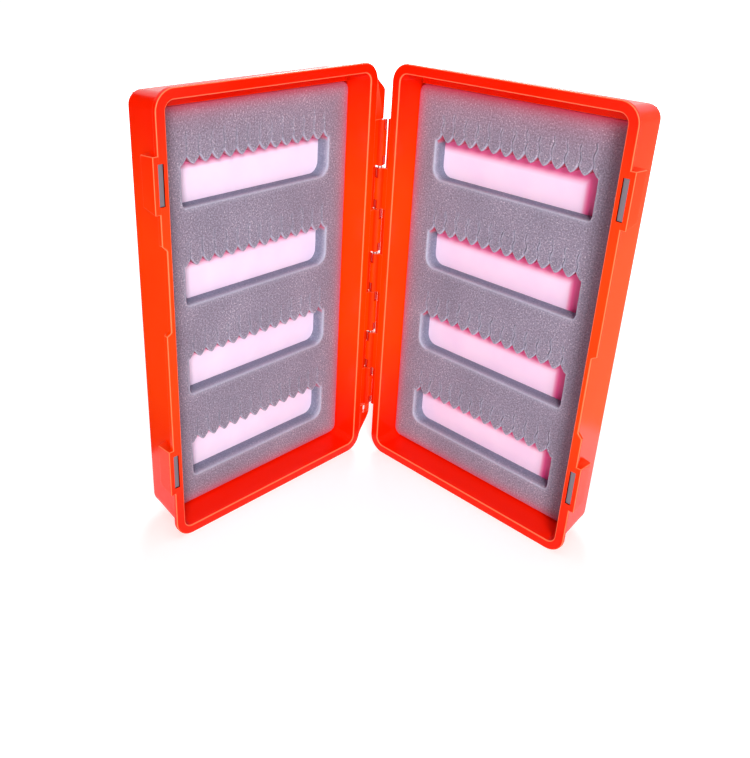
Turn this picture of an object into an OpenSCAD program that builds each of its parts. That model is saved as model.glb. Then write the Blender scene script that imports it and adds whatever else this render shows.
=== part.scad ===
// Hinged fly box: two drafted shells on one pin, closed by bar magnets, with a slit foam
// insert on a white board in each half.
// It stands open at a right angle on its end, with the hinge upright: the base runs along +X
// with its back to +Y, and the lid runs along -Y with its back to -X.
// Each half is drawn lying flat: x runs across from the hinge axis, y along the hinge, and
// z from the parting plane into the half.

/* [Box] */
// Length of the box along the hinge
box_l = 155; // [150:1:175]
// Width across one half, from rim flange to rim flange
box_w = 90.5; // [88:0.5:104]
// Depth of one half, from the parting plane to its back
half_depth = 21.5; // [19:0.5:26]
// Thickness of the back wall
back_t = 1.7; // [1.2:0.1:2.2]
// Draft of the side walls, in degrees
draft = 4.8; // [2:0.2:6]

/* [Rim] */
// How far the rim flange stands out from the wall
flange_over = 1.6; // [1.2:0.1:2]
// Width of the whole rim face, flange and wall together
rim_w = 3.4; // [3.2:0.1:4]
// Thickness of the lid's flange
lid_flange_t = 2; // [1.6:0.1:2.4]
// Thickness of the base's flange
base_flange_t = 1.4; // [1.2:0.1:2]
// Corner radius of the flange, seen from the front
corner_r = 6.5; // [5.5:0.5:8]
// Length of the finger notch in each flange
notch_l = 28.8; // [20:0.2:30]

/* [Hinge] */
// Distance from the hinge axis to the flange
axis_off = 3.3; // [3.1:0.1:4]
// Number of knuckles, the lid's and the base's in turn
knuckle_n = 7; // [5:2:9]
// Length that the knuckles take up together
hinge_l = 115.2; // [105:0.2:118]
// Radius of the knuckles
knuckle_r = 1.8; // [1.6:0.1:2]
// Radius of the hinge pin
pin_r = 0.8; // [0.6:0.05:0.9]

/* [Closure] */
// Length of a magnet pad
pad_l = 17.6; // [16:0.2:20]
// Distance from the middle of a pad to the end of the box
pad_from_end = 27.8; // [24:0.2:32]
// How far a pad stands out past the flange
pad_out = 1.7; // [1.5:0.1:2.5]
// Depth of a pad behind the parting plane
pad_deep = 7; // [6.5:0.5:8]
// Length of a bar magnet
magnet_l = 12.7; // [10:0.1:13]
// Width of a bar magnet, as its face shows
magnet_w = 1.8; // [1.5:0.1:2]

/* [Foam] */
// Depth of the foam's face behind the parting plane
foam_recess = 10; // [8:0.5:11]
// Thickness of the slit foam
foam_t = 5.5; // [4:0.5:6]
// Number of windows in a foam insert
window_n = 4; // [3:1:4]
// Distance from one window to the next
window_pitch = 33.4; // [32:0.2:36]
// Width of a window
window_w = 62.7; // [58:0.1:66]
// Height of a window up to its notches
window_h = 16.2; // [13:0.1:17]
// Number of whole teeth along the top of a window
tooth_n = 12; // [10:1:13]
// Depth of the notches between the teeth
tooth_h = 2.8; // [2:0.1:4]
// Length of the slit that runs on from each notch
slit_l = 7.4; // [4:0.2:9]

/* [Hidden] */

abs_red = "#f5300a";
foam_grey = "#857f8f";
sheet_white = "#f3eef8";
magnet_grey = "#8d8a92";
steel_grey = "#b9bbc0";

// The two rims stop this far short of the parting plane, so the closed halves don't grind
rim_gap = 0.15;
free_x = axis_off + box_w;        // the flange's free edge
mid_y = box_l / 2;
back_fillet = 3;                  // round where a side wall turns into the back
back_corner_r = 4.6;              // corner of the back, seen from behind
floor_fillet = 1.5;               // the same round inside
floor_corner_r = 3;
hull_fn = 32;
$fn = 64;

// Inset of a drafted wall at depth z, when it is inset by rim_inset at the rim
function drafted(rim_inset, z) = rim_inset + z * tan(draft);

floor_z = half_depth - back_t;
board_z = foam_recess + foam_t;   // the face of the white board behind the foam
foam_fit = 0.1;                   // the foam all but fills the half from wall to wall
foam_low_gap = 0.6;               // and leaves a little more at its lower end
foam_top_gap = 3;                 // and a red strip of the half in sight above it
foam_corner_r = 3;
board_inset = drafted(rim_w, floor_z) + floor_fillet + 0.2;

lid_notch_y = mid_y + 2.2;        // the two notches lie either side of the middle
base_notch_y = mid_y - 0.5 - notch_l;
pad_y = [pad_from_end + 0.4, box_l - pad_from_end + 0.4];      // the pads sit a little high
pad_corner_r = 0.9;
magnet_t = 4.8;                   // depth of a magnet into its pad
magnet_sink = 0.3;                // its face lies this far under the rim
magnet_fit = 0.1;
magnet_x = free_x - 0.9;          // the middle of its slot

pin_fixed_fit = 0.02;             // radial, in the lid's knuckles, which hold the pin
pin_running_fit = 0.06;           // radial, in the base's knuckles, which turn on it
knuckle_gap = 0.35;               // under each of the base's knuckles, where it rests on its fellow
knuckle_play = 0.9;               // and above it
knuckle_pitch = hinge_l / knuckle_n;
hinge_y0 = mid_y - hinge_l / 2;
pocket_l = 3.6;                   // each end of a knuckle has a pocket in front
pocket_z = -0.5;                  // down to this, beside a core round the pin
pocket_x = 0.2;
pocket_core_r = 1.2;
ledge_x = knuckle_r - 0.05;       // beside each knuckle the other half has a sunken ledge
ledge_z = knuckle_r / 2;          // that all but closes the gap
pin_l = hinge_l + 0.4;

stop_l = 10;                      // the solid lug over the pin's upper end
stop_x = -0.3;
stop_ramp = 3.6;                  // the length over which it runs out into the flange
tab_l = 6;                        // the spring tongue that keeps the pin in at its lower end
tab_x = -1.2;
tab_slot_x = 1.4;                 // it is cut free from the flange by a slot this wide
tab_slot_w = 1.6;
tab_ramp = 7;

window_x0 = axis_off + (box_w - window_w) / 2 - 0.7;   // the windows sit nearer the hinge
window_hinge_r = 4;               // their lower corners, by the hinge and by the free edge
window_free_r = 1.6;
windows_l = (window_n - 1) * window_pitch + window_h;
window_y0 = (box_l - windows_l) / 2 - 4;      // the rows sit a little low in the foam
tooth_pitch = window_w / (tooth_n + 1);
slit_w = 0.4;

// The part's origin is the middle of its footprint, on the floor
back_x = axis_off + box_w + pad_out;
function origin_shift() = [(half_depth - back_x) / 2, (back_x - half_depth) / 2, 0];

// Puts something drawn flat into the base's place or into the lid's
module in_base() { translate(origin_shift()) mirror([0, 1, 0]) rotate([90, 0, 0]) children(); }
module in_lid() { translate(origin_shift()) rotate([90, 0, -90]) children(); }

// A rectangle with its corners rounded to radius r
module rounded_rect(x0, y0, x1, y1, r) {
    translate([x0 + r, y0]) square([x1 - x0 - 2 * r, y1 - y0]);
    translate([x0, y0 + r]) square([x1 - x0, y1 - y0 - 2 * r]);
    for (x = [x0 + r, x1 - r], y = [y0 + r, y1 - r]) translate([x, y]) circle(r);
}

// The flange's outline, drawn in by inset
module outline(inset) {
    rounded_rect(axis_off + inset, inset, free_x - inset, box_l - inset,
                 max(corner_r - inset, 1));
}

// A closed block that tapers from the rim to a rounded back, inset by rim_inset at the rim
module drafted_block(rim_inset, top_z, depth, fillet, r) {
    inset = drafted(rim_inset, depth - fillet);
    hull() {
        translate([0, 0, top_z]) linear_extrude(0.4) outline(rim_inset, $fn = hull_fn);
        for (x = [axis_off + inset + r, free_x - inset - r], y = [inset + r, box_l - inset - r])
            translate([x, y, depth - fillet])
                rotate_extrude($fn = hull_fn) intersection() {
                    translate([r - fillet, 0]) circle(fillet, $fn = hull_fn);
                    translate([0, -fillet]) square([r, 2 * fillet]);
                }
    }
}

// The rim flange with the finger notch that starts at notch_y
module flange(thick, notch_y) {
    translate([0, 0, rim_gap]) linear_extrude(thick - rim_gap) difference() {
        outline(0);
        translate([free_x - flange_over, notch_y]) square([flange_over + 1, notch_l]);
    }
}

// A pad that stands out from the free edge. It has draft on every side, more at its lower
// end, and slopes back to the wall behind.
module magnet_pad(y) {
    end = pad_deep + 1.4;
    root_x = free_x - drafted(flange_over, pad_deep) - 0.6;
    face_x = free_x + pad_out;
    translate([0, y, 0]) intersection() {
        translate([0, pad_l / 2, 0]) rotate([90, 0, 0]) linear_extrude(pad_l)
            polygon([[root_x, rim_gap], [face_x, rim_gap], [face_x - 0.2, pad_deep - 0.5],
                     [face_x - 0.7, pad_deep], [root_x, end]]);
        translate([root_x - 1, 0, 0]) rotate([90, 0, 90]) linear_extrude(10)
            polygon([[-pad_l / 2, 0], [pad_l / 2, 0], [pad_l / 2 - end * tan(draft), end],
                     [end * tan(2 * draft) - pad_l / 2, end]]);
        linear_extrude(end)
            rounded_rect(root_x - 1, -pad_l / 2, face_x, pad_l / 2, pad_corner_r);
    }
}

module magnet_slot(y) {
    translate([magnet_x - magnet_w / 2 - magnet_fit, y - magnet_l / 2 - magnet_fit, -1])
        cube([magnet_w + 2 * magnet_fit, magnet_l + 2 * magnet_fit,
              1 + rim_gap + magnet_sink + magnet_t]);
}

module magnet(y) {
    translate([magnet_x - magnet_w / 2, y - magnet_l / 2, rim_gap + magnet_sink])
        cube([magnet_w, magnet_l, magnet_t]);
}

// A round bar along the hinge axis
module axis_rod(r, y0, l) {
    translate([0, y0, 0]) rotate([-90, 0, 0]) cylinder(r = r, h = l);
}

// One knuckle from y0, l long: a barrel on a web, with a pocket in front at either end
module knuckle(y0, l, thick, bore_r) {
    difference() {
        union() {
            axis_rod(knuckle_r, y0, l);
            translate([0, y0, rim_gap]) cube([axis_off + 1, l, thick - rim_gap]);
        }
        axis_rod(bore_r, y0 - 1, l + 2);
        for (y = [y0 - 1, y0 + l - pocket_l]) difference() {
            translate([-knuckle_r - 1, y, -knuckle_r - 1])
                cube([knuckle_r + 1 + pocket_x, pocket_l + 1, knuckle_r + 1 + pocket_z]);
            axis_rod(pocket_core_r, y - 1, pocket_l + 3);
        }
    }
}

// The ledge beside knuckle k of the other half
module ledge(k, thick) {
    translate([ledge_x, hinge_y0 + k * knuckle_pitch, ledge_z])
        cube([axis_off + 1 - ledge_x, knuckle_pitch, thick - ledge_z]);
}

// A lug beside the knuckles, l long from y0, that runs out into the flange at its far end
// over the length ramp. reach is how far across the axis it comes, and way is 1 or -1 along
// the hinge.
module lug(y0, l, reach, way, ramp, thick) {
    steps = 12;
    curve = [for (i = [0 : steps])
        let (t = i / steps)
        [reach + (axis_off + 0.2 - reach) * (1 - cos(180 * t)) / 2, y0 + way * (l + ramp * t)]];
    translate([0, 0, rim_gap]) linear_extrude(thick - rim_gap)
        polygon(concat([[axis_off + 1, y0], [reach, y0]], curve,
                       [[axis_off + 1, y0 + way * (l + ramp)]]));
}

// The lid's two lugs: a solid one over the pin, and under it a spring tongue, cut free from
// the flange by a slot, that is bent aside to put the pin in
module pin_stops(thick) {
    lug(mid_y + hinge_l / 2 + 0.4, stop_l, stop_x, 1, stop_ramp, thick);
    tab_y = mid_y - hinge_l / 2 - 0.6;
    difference() {
        lug(tab_y, tab_l, tab_x, -1, tab_ramp, thick);
        translate([tab_slot_x, tab_y - tab_l + tab_slot_w / 2, -1])
            cube([tab_slot_w, tab_l + 1, 5]);
        translate([tab_slot_x + tab_slot_w / 2, tab_y - tab_l + tab_slot_w / 2, -1])
            cylinder(d = tab_slot_w, h = 5);
    }
}

// One moulded half, lying on its face
module half_shell(flange_t, notch_y) {
    difference() {
        union() {
            drafted_block(flange_over, rim_gap, half_depth, back_fillet, back_corner_r);
            flange(flange_t, notch_y);
            for (y = pad_y) magnet_pad(y);
        }
        drafted_block(rim_w, -1, floor_z, floor_fillet, floor_corner_r);
        for (y = pad_y) magnet_slot(y);
    }
}

module lid_shell() {
    color(abs_red) in_lid() {
        half_shell(lid_flange_t, lid_notch_y);
        pin_stops(lid_flange_t);
        for (k = [0 : 2 : knuckle_n - 1])
            knuckle(hinge_y0 + k * knuckle_pitch, knuckle_pitch, lid_flange_t,
                    pin_r + pin_fixed_fit);
        for (k = [1 : 2 : knuckle_n - 2]) ledge(k, lid_flange_t);
    }
}

module base_shell() {
    color(abs_red) in_base() {
        half_shell(base_flange_t, base_notch_y);
        for (k = [1 : 2 : knuckle_n - 2])
            knuckle(hinge_y0 + k * knuckle_pitch + knuckle_gap,
                    knuckle_pitch - knuckle_gap - knuckle_play, base_flange_t,
                    pin_r + pin_running_fit);
        for (k = [0 : 2 : knuckle_n - 1]) ledge(k, base_flange_t);
    }
}

module hinge_pin() {
    color(steel_grey) in_lid() axis_rod(pin_r, mid_y - pin_l / 2, pin_l);
}

// One window of the foam, with its lower edge at y0: straight below, and cut into wedge
// teeth along its top. A slit runs up from the notch between each two, to grip a hook.
module window_cut(y0) {
    x0 = window_x0;
    x1 = window_x0 + window_w;
    low = y0 + window_hinge_r;
    tips = y0 + window_h - tooth_h;
    slit_y = y0 + window_h + slit_l;
    notches = [for (i = [0 : tooth_n])
        let (x = x0 + (i + 0.5) * tooth_pitch, a = x - slit_w / 2, b = x + slit_w / 2)
        each [[a, y0 + window_h - 0.2], [a, slit_y], [b, slit_y], [b, y0 + window_h - 0.2],
              [x + tooth_pitch / 2, tips]]];
    polygon(concat([[x0, low], [x0, tips]], notches, [[x1, low]]));
    translate([x0 + window_hinge_r, y0])
        square([window_w - window_hinge_r - window_free_r, window_hinge_r + 0.1]);
    translate([x1 - window_free_r - 0.1, y0 + window_free_r])
        square([window_free_r + 0.1, window_hinge_r - window_free_r + 0.1]);
    translate([x0 + window_hinge_r, low]) circle(window_hinge_r);
    translate([x1 - window_free_r, y0 + window_free_r]) circle(window_free_r);
}

// The outline of the foam where it lies at depth z
module foam_outline(z) {
    inset = drafted(rim_w, z) + foam_fit;
    rounded_rect(axis_off + inset, inset + foam_low_gap, free_x - inset,
                 box_l - inset - foam_top_gap, foam_corner_r, $fn = hull_fn);
}

// The slit foam insert, with a window for each row of flies
module foam_insert() {
    difference() {
        hull() {
            translate([0, 0, foam_recess]) linear_extrude(0.1) foam_outline(foam_recess);
            translate([0, 0, board_z - 0.1]) linear_extrude(0.1) foam_outline(board_z);
        }
        translate([0, 0, foam_recess - 1]) linear_extrude(foam_t + 2)
            for (row = [0 : window_n - 1]) window_cut(window_y0 + row * window_pitch);
    }
}

// The white board that the foam is glued to
module backing_board() {
    translate([0, 0, board_z]) linear_extrude(floor_z - board_z)
        rounded_rect(axis_off + board_inset, board_inset, free_x - board_inset,
                     box_l - board_inset - foam_top_gap, foam_corner_r);
}

module lid_magnet_upper() { color(magnet_grey) in_lid() magnet(pad_y[1]); }
module lid_magnet_lower() { color(magnet_grey) in_lid() magnet(pad_y[0]); }
module base_magnet_upper() { color(magnet_grey) in_base() magnet(pad_y[1]); }
module base_magnet_lower() { color(magnet_grey) in_base() magnet(pad_y[0]); }
module lid_foam() { color(foam_grey) in_lid() foam_insert(); }
module base_foam() { color(foam_grey) in_base() foam_insert(); }
module lid_backing() { color(sheet_white) in_lid() backing_board(); }
module base_backing() { color(sheet_white) in_base() backing_board(); }

lid_shell();
base_shell();
hinge_pin();
lid_magnet_upper();
lid_magnet_lower();
base_magnet_upper();
base_magnet_lower();
lid_foam();
base_foam();
lid_backing();
base_backing();
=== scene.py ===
# Red fly box, open at a right angle on its end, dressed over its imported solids.
# Both halves are worked out lying flat, in mm: u runs across from the hinge pin, v along the
# hinge, and w from the parting plane into the half. onHalf() puts them in place, in metres.
import bpy
import numpy as np
from mathutils import Matrix, Vector


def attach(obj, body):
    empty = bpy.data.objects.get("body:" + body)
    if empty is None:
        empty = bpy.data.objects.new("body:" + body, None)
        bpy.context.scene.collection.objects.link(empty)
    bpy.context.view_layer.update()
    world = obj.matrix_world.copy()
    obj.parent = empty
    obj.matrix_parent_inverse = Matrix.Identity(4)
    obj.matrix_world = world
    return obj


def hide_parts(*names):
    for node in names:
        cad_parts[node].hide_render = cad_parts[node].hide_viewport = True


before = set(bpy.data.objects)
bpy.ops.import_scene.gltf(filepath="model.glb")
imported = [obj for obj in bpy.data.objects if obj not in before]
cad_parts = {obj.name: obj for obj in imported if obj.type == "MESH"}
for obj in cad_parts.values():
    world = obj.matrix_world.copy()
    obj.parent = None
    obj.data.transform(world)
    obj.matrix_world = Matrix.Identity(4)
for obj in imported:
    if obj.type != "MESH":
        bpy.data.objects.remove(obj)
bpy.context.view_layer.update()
print("frame loaded:", len(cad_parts), "solids")
bpy.context.scene.view_settings.view_transform = "Standard"

originShift = 37.0  # mm, from the hinge pin to the middle of the footprint, both ways


def onHalf(points, half):
    # the base runs along +X with its back to +Y, the lid along -Y with its back to -X
    u, v, w = points[..., 0], points[..., 1], points[..., 2]
    if half == "base":
        placed = (u - originShift, w + originShift, v)
    else:
        placed = (-w - originShift, originShift - u, v)
    return np.stack(placed, -1) * 0.001


def inScene(name, data):
    thing = bpy.data.objects.new(name, data)
    bpy.context.scene.collection.objects.link(thing)
    return thing


# Camera, floor and light
cameraSetup = {
    "place": (0.16579, -0.18784, 0.19794),  # where the photo was taken from, in metres
    "yaw": -0.81821,
    "pitch": 0.43278,
    "roll": 0.02195,
    "lens": 40.915,
    "shift": (0.0919, -0.0860),
}


def makeCamera():
    yaw, pitch, roll = (cameraSetup[k] for k in ("yaw", "pitch", "roll"))
    ahead = Vector((np.sin(yaw) * np.cos(pitch), np.cos(yaw) * np.cos(pitch), -np.sin(pitch)))
    level = Vector((np.cos(yaw), -np.sin(yaw), 0))
    upright = level.cross(ahead)
    right = np.cos(roll) * level + np.sin(roll) * upright
    up = -np.sin(roll) * level + np.cos(roll) * upright
    data = bpy.data.cameras.new("camera")
    data.sensor_fit = "HORIZONTAL"
    data.sensor_width = 36
    data.lens = cameraSetup["lens"]
    data.shift_x, data.shift_y = cameraSetup["shift"]
    data.clip_start, data.clip_end = 0.01, 100
    camera = inScene("camera", data)
    turn = Matrix((right, up, -ahead)).transposed().to_4x4()
    camera.matrix_world = Matrix.Translation(cameraSetup["place"]) @ turn
    bpy.context.scene.camera = camera


makeCamera()


def srgb(hexText):
    # sRGB hex to linear RGBA
    c = np.array([int(hexText[i:i + 2], 16) for i in (1, 3, 5)]) / 255
    lin = np.where(c <= 0.04045, c / 12.92, ((c + 0.055) / 1.055) ** 2.4)
    return (*[float(x) for x in lin], 1.0)


def add(tree, kind, settings=None, links=None):
    # one node, with its settings (attributes, or sockets by name or number) and its links in
    node = tree.nodes.new("ShaderNode" + kind)
    for key, value in (settings or {}).items():
        if isinstance(key, str) and hasattr(node, key):
            setattr(node, key, value)
        else:
            node.inputs[key].default_value = value
    for key, source in (links or {}).items():
        tree.links.new(source, node.inputs[key])
    return node


def newMaterial(name):
    material = bpy.data.materials.new(name)
    material.use_nodes = True
    tree = material.node_tree
    tree.nodes.clear()
    return material, tree


def tinted(tree, colour, mark, hexText, most=1.0):
    # mixes a colour in by the mark that the mesh carries
    amount = add(tree, "Math", {"operation": "MULTIPLY", 1: most},
                 {0: add(tree, "Attribute", {"attribute_name": mark}).outputs["Fac"]})
    return add(tree, "Mix", {"data_type": "RGBA", 7: srgb(hexText)},
               {0: amount.outputs[0], 6: colour}).outputs[2]


def ramp(tree, value, stops):
    # a colour at each place between 0 and 1
    node = add(tree, "ValToRGB", {}, {"Fac": value})
    elements = node.color_ramp.elements
    for place, _ in stops[2:]:
        elements.new(place)
    for element, (place, hexText) in zip(elements, stops):
        element.position, element.color = place, srgb(hexText)
    return node.outputs[0]


stageSetup = {
    "floorWidth": 30.0,
    "floorColour": "#f2f2f4",
    "glow": (0.34, 0.95),   # added to the lit paper where it is seen, near the box and far off
    "glowFrom": 0.12,       # metres from the box
    "glowTo": 0.6,
    "worldLight": 0.08,
}


def seenDirectly(tree):
    # 1 for the camera and for what gloss and glass show of the background, else 0
    ray = add(tree, "LightPath")
    mirror = add(tree, "Math", {"operation": "MAXIMUM"},
                 {0: ray.outputs["Is Glossy Ray"], 1: ray.outputs["Is Transmission Ray"]})
    return add(tree, "Math", {"operation": "MAXIMUM"},
               {0: ray.outputs["Is Camera Ray"], 1: mirror.outputs[0]}).outputs[0]


def makeStage():
    mesh = bpy.data.meshes.new("floor")
    s = stageSetup["floorWidth"] / 2
    mesh.from_pydata([(-s, -s, 0), (s, -s, 0), (s, s, 0), (-s, s, 0)], [], [(0, 1, 2, 3)])
    inScene("floor", mesh)
    paper, tree = newMaterial("studio paper")
    away = add(tree, "VectorMath", {"operation": "LENGTH"},
               {0: add(tree, "TexCoord").outputs["Object"]})
    near, far = stageSetup["glow"]
    glow = add(tree, "MapRange", {"From Min": stageSetup["glowFrom"],
                                  "From Max": stageSetup["glowTo"], "To Min": near, "To Max": far},
               {0: away.outputs["Value"]})
    seen = add(tree, "Math", {"operation": "MULTIPLY"}, {0: glow.outputs[0], 1: seenDirectly(tree)})
    lit = add(tree, "BsdfDiffuse", {"Color": srgb(stageSetup["floorColour"])})
    shine = add(tree, "Emission", {}, {"Strength": seen.outputs[0]})
    both = add(tree, "AddShader", {}, {0: lit.outputs[0], 1: shine.outputs[0]})
    add(tree, "OutputMaterial", {}, {"Surface": both.outputs[0]})
    mesh.materials.append(paper)

    world = bpy.data.worlds.new("studio")
    bpy.context.scene.world = world
    world.use_nodes = True
    tree = world.node_tree
    tree.nodes.clear()
    strength = add(tree, "MapRange", {"To Min": stageSetup["worldLight"], "To Max": 1.0},
                   {0: seenDirectly(tree)})
    sky = add(tree, "Background", {"Color": (1, 1, 1, 1)}, {"Strength": strength.outputs[0]})
    add(tree, "OutputWorld", {}, {"Surface": sky.outputs[0]})


makeStage()

# name: (place, aimed at, width, height, watts, colour)
lamps = {
    # the key stands to the right of the camera and above it, and looks into both halves
    "key softbox": ((0.80, -0.70, 0.57), (0.0, 0.0, 0.08), 0.32, 0.32, 13.6, "#fffaf4"),
    # low, so that it reaches under the upper rims
    "fill softbox": ((0.62, -0.72, 0.13), (0.0, 0.0, 0.10), 0.5, 0.2, 2.4, "#fff4f0"),
    "top softbox": ((0.05, 0.05, 1.10), (0.0, 0.0, 0.0), 0.8, 0.8, 3.6, "#fff0f6"),
    # this one is for the backs
    "back softbox": ((-0.66, 0.80, 0.62), (0.0, 0.0, 0.08), 0.5, 0.5, 7.0, "#ffffff"),
}
for name, (place, aim, width, height, watts, colour) in lamps.items():
    data = bpy.data.lights.new(name, "AREA")
    data.shape, data.size, data.size_y = "RECTANGLE", width, height
    data.energy = watts
    data.color = srgb(colour)[:3]
    lamp = inScene(name, data)
    lamp.location = place
    lamp.rotation_euler = (Vector(aim) - Vector(place)).to_track_quat("-Z", "Y").to_euler()

# cards by the free edges, seen in gloss alone: (middle, size, degrees turned, colour, strength)
cards = {
    "dark flag": ((-0.092, -0.115, 0.085), (0.13, 0.18), 90, "#3a0603", 0.6),
    "warm reflector": ((0.105, 0.125, 0.085), (0.10, 0.18), 0, "#ffb888", 1.5),
}


def makeCard(name, middle, size, turned, colour, strength):
    mesh = bpy.data.meshes.new(name)
    a = np.radians(turned)
    across = np.array([np.cos(a), np.sin(a), 0]) * size[0] / 2
    up = np.array([0, 0, size[1] / 2])
    points = [np.array(middle) + i * across + j * up
              for i, j in ((-1, -1), (1, -1), (1, 1), (-1, 1))]
    mesh.from_pydata([tuple(q) for q in points], [], [(0, 1, 2, 3)])
    card = inScene(name, mesh)
    for ray in ("camera", "diffuse", "transmission", "volume_scatter", "shadow"):
        setattr(card, "visible_" + ray, False)
    material, tree = newMaterial("studio card, " + name)
    shine = add(tree, "Emission", {"Color": srgb(colour), "Strength": strength})
    add(tree, "OutputMaterial", {}, {"Surface": shine.outputs[0]})
    mesh.materials.append(material)


for name, values in cards.items():
    makeCard(name, *values)
print("stage and lamps set")


# Materials
absLook = {
    "colours": ((0.0, "#fe3e00"), (0.75, "#f61a00")),
    "middle": 0.08,    # metres above the floor where the colour is brightest
    "even": 0.028,     # metres up and down from there that keep it
    "ends": 0.0775,    # metres up and down from there where it is deepest
    "edge": ("#ff9868", 0.52),   # painted highlight along sharp corners, and how much
    "edgeTurn": (0.8, 1.2),      # radians per mm where that starts, and how many more for all
    "paintedShade": ("#b80c00", 0.85),  # painted shade in the hinge's pockets, beside the barrels, on the ledges and in the weave's hollows, and how much
    "drift": 45.0,     # soft patches per metre in colour and gloss
    "roughness": (0.20, 0.27),
    "weaveRoughness": (0.31, 0.31),  # even, since marks on so fine a relief show as patches
    "peel": 1.3,       # mm across one swell of the skin
    "swell": (0.12, 0.0),  # how strongly it swells on the polished skin and on the weave
    "scuff": 0.25,     # mm across a handling mark, drawn as coarse as it shows
}


def mouldedAbs(name, roughness, swell):
    # injection-moulded ABS: a deep red under a polished skin that mirrors softly, swells a
    # little like the peel of an orange and keeps fine handling marks, with a highlight painted
    # along sharp corners
    material, tree = newMaterial(name)
    at = add(tree, "TexCoord").outputs["Object"]
    cloud = add(tree, "TexNoise", {"Scale": absLook["drift"], "Detail": 3.0, "Roughness": 0.55},
                {"Vector": at})
    # painted light: the halves are more orange in the middle, as where they are lit, and redder at
    # both ends, as where they are in shade
    height = add(tree, "SeparateXYZ", {}, {0: at}).outputs["Z"]
    fromMiddle = add(tree, "Math", {"operation": "ABSOLUTE"}, {0: add(
        tree, "Math", {"operation": "SUBTRACT", 1: absLook["middle"]}, {0: height}).outputs[0]})
    far = add(tree, "MapRange", {"From Min": absLook["even"], "From Max": absLook["ends"],
                                 "To Min": 0.15}, {0: fromMiddle.outputs[0]})
    uneven = add(tree, "Math", {"operation": "MULTIPLY_ADD", 1: -0.3},
                 {0: cloud.outputs["Fac"], 2: far.outputs[0]})
    colour = ramp(tree, uneven.outputs[0], absLook["colours"])
    # a highlight painted along sharp corners
    colour = tinted(tree, colour, "painted_corner_highlight", *absLook["edge"])
    # shade painted in the hinge's pockets, beside the barrels, on the ledges and in the weave's
    # hollows
    colour = tinted(tree, colour, "painted_shade", *absLook["paintedShade"])
    stretch = add(tree, "Mapping", {"Scale": (1.0, 1.0, 0.12)}, {"Vector": at})
    scuffs = add(tree, "TexNoise", {"Scale": 1000 / absLook["scuff"] / 6, "Detail": 4.0,
                                    "Roughness": 0.65}, {"Vector": stretch.outputs[0]})
    marks = add(tree, "MapRange", {"From Min": 0.55, "From Max": 0.78,
                                   "To Min": 0.0, "To Max": 1.0}, {0: scuffs.outputs["Fac"]})
    both = add(tree, "Math", {"operation": "MULTIPLY_ADD", 1: 0.45},
               {0: marks.outputs[0], 2: cloud.outputs["Fac"]})
    rough = add(tree, "MapRange", {"From Min": 0.35, "From Max": 1.0,
                                   "To Min": roughness[0], "To Max": roughness[1]},
                {0: both.outputs[0]})
    peel = add(tree, "TexNoise", {"Scale": 1000 / absLook["peel"] / 2, "Detail": 1.0},
               {"Vector": at})
    skin = add(tree, "Bump", {"Strength": swell, "Distance": 0.00006},
               {"Height": peel.outputs["Fac"]})
    shader = add(tree, "BsdfPrincipled",
                 {"IOR": 1.54, "Specular IOR Level": 0.16, "Specular Tint": srgb("#ffc8b8")},
                 {"Base Color": colour, "Roughness": rough.outputs[0],
                  "Normal": skin.outputs[0]})
    add(tree, "OutputMaterial", {}, {"Surface": shader.outputs[0]})
    return material


foamLook = {
    "grain": 0.42,     # mm across a cell, as coarse as it shows
    "colours": ((0.24, "#63606f"), (0.47, "#827d91"), (0.61, "#958fa4"), (0.77, "#d4cedc")),
    "painted_cut_highlight": "#bcc4dc",   # painted highlight along cut edges
    "wall": "#74809a",   # painted shade on the windows' walls, darker and bluer than the face
    "painted_red_glow_and_shade": "#cc4462",  # painted red glow from the shell round the edges, and painted red shade under its top wall and on the teeth's flanks
}


def cutFoam():
    # cross-linked foam, sliced: matt, its skin an open web of tiny cells that speckles it
    # light and dark
    material, tree = newMaterial("sliced cross-linked foam")
    at = add(tree, "TexCoord").outputs["Object"]
    grain = 1000 / foamLook["grain"]
    speck = add(tree, "TexNoise", {"Scale": grain * 0.75, "Detail": 2.0, "Roughness": 0.7},
                {"Vector": at})
    cells = add(tree, "TexVoronoi", {"Scale": grain, "Randomness": 1.0}, {"Vector": at})
    patch = add(tree, "TexNoise", {"Scale": 60.0, "Detail": 2.0}, {"Vector": at})
    tone = add(tree, "Math", {"operation": "MULTIPLY_ADD", 1: 0.16},
               {0: patch.outputs["Fac"], 2: speck.outputs["Fac"]})
    tone = add(tree, "Math", {"operation": "ADD", 1: -0.08}, {0: tone.outputs[0]})
    colour = ramp(tree, tone.outputs[0], foamLook["colours"])
    # painted highlight, painted shade, and painted red glow and shade, from the marks that the mesh
    # carries
    for mark in ("painted_cut_highlight", "wall", "painted_red_glow_and_shade"):
        colour = tinted(tree, colour, mark, foamLook[mark])
    height = add(tree, "Math", {"operation": "MULTIPLY_ADD", 1: 0.6},
                 {0: cells.outputs["Distance"], 2: speck.outputs["Fac"]})
    pits = add(tree, "Bump", {"Strength": 0.55, "Distance": 0.00022},
               {"Height": height.outputs[0]})
    shader = add(tree, "BsdfPrincipled",
                 {"Roughness": 0.93, "IOR": 1.45, "Specular IOR Level": 0.25},
                 {"Base Color": colour, "Normal": pits.outputs[0]})
    add(tree, "OutputMaterial", {}, {"Surface": shader.outputs[0]})
    return material


# the board's colours, and the red painted as shade under the foam's edges and as a faint glow
boardLook = {"colours": ((0.25, "#ecdcfa"), (0.75, "#f5e7fe")), "painted_red_glow_and_shade": "#e2408a"}


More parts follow.
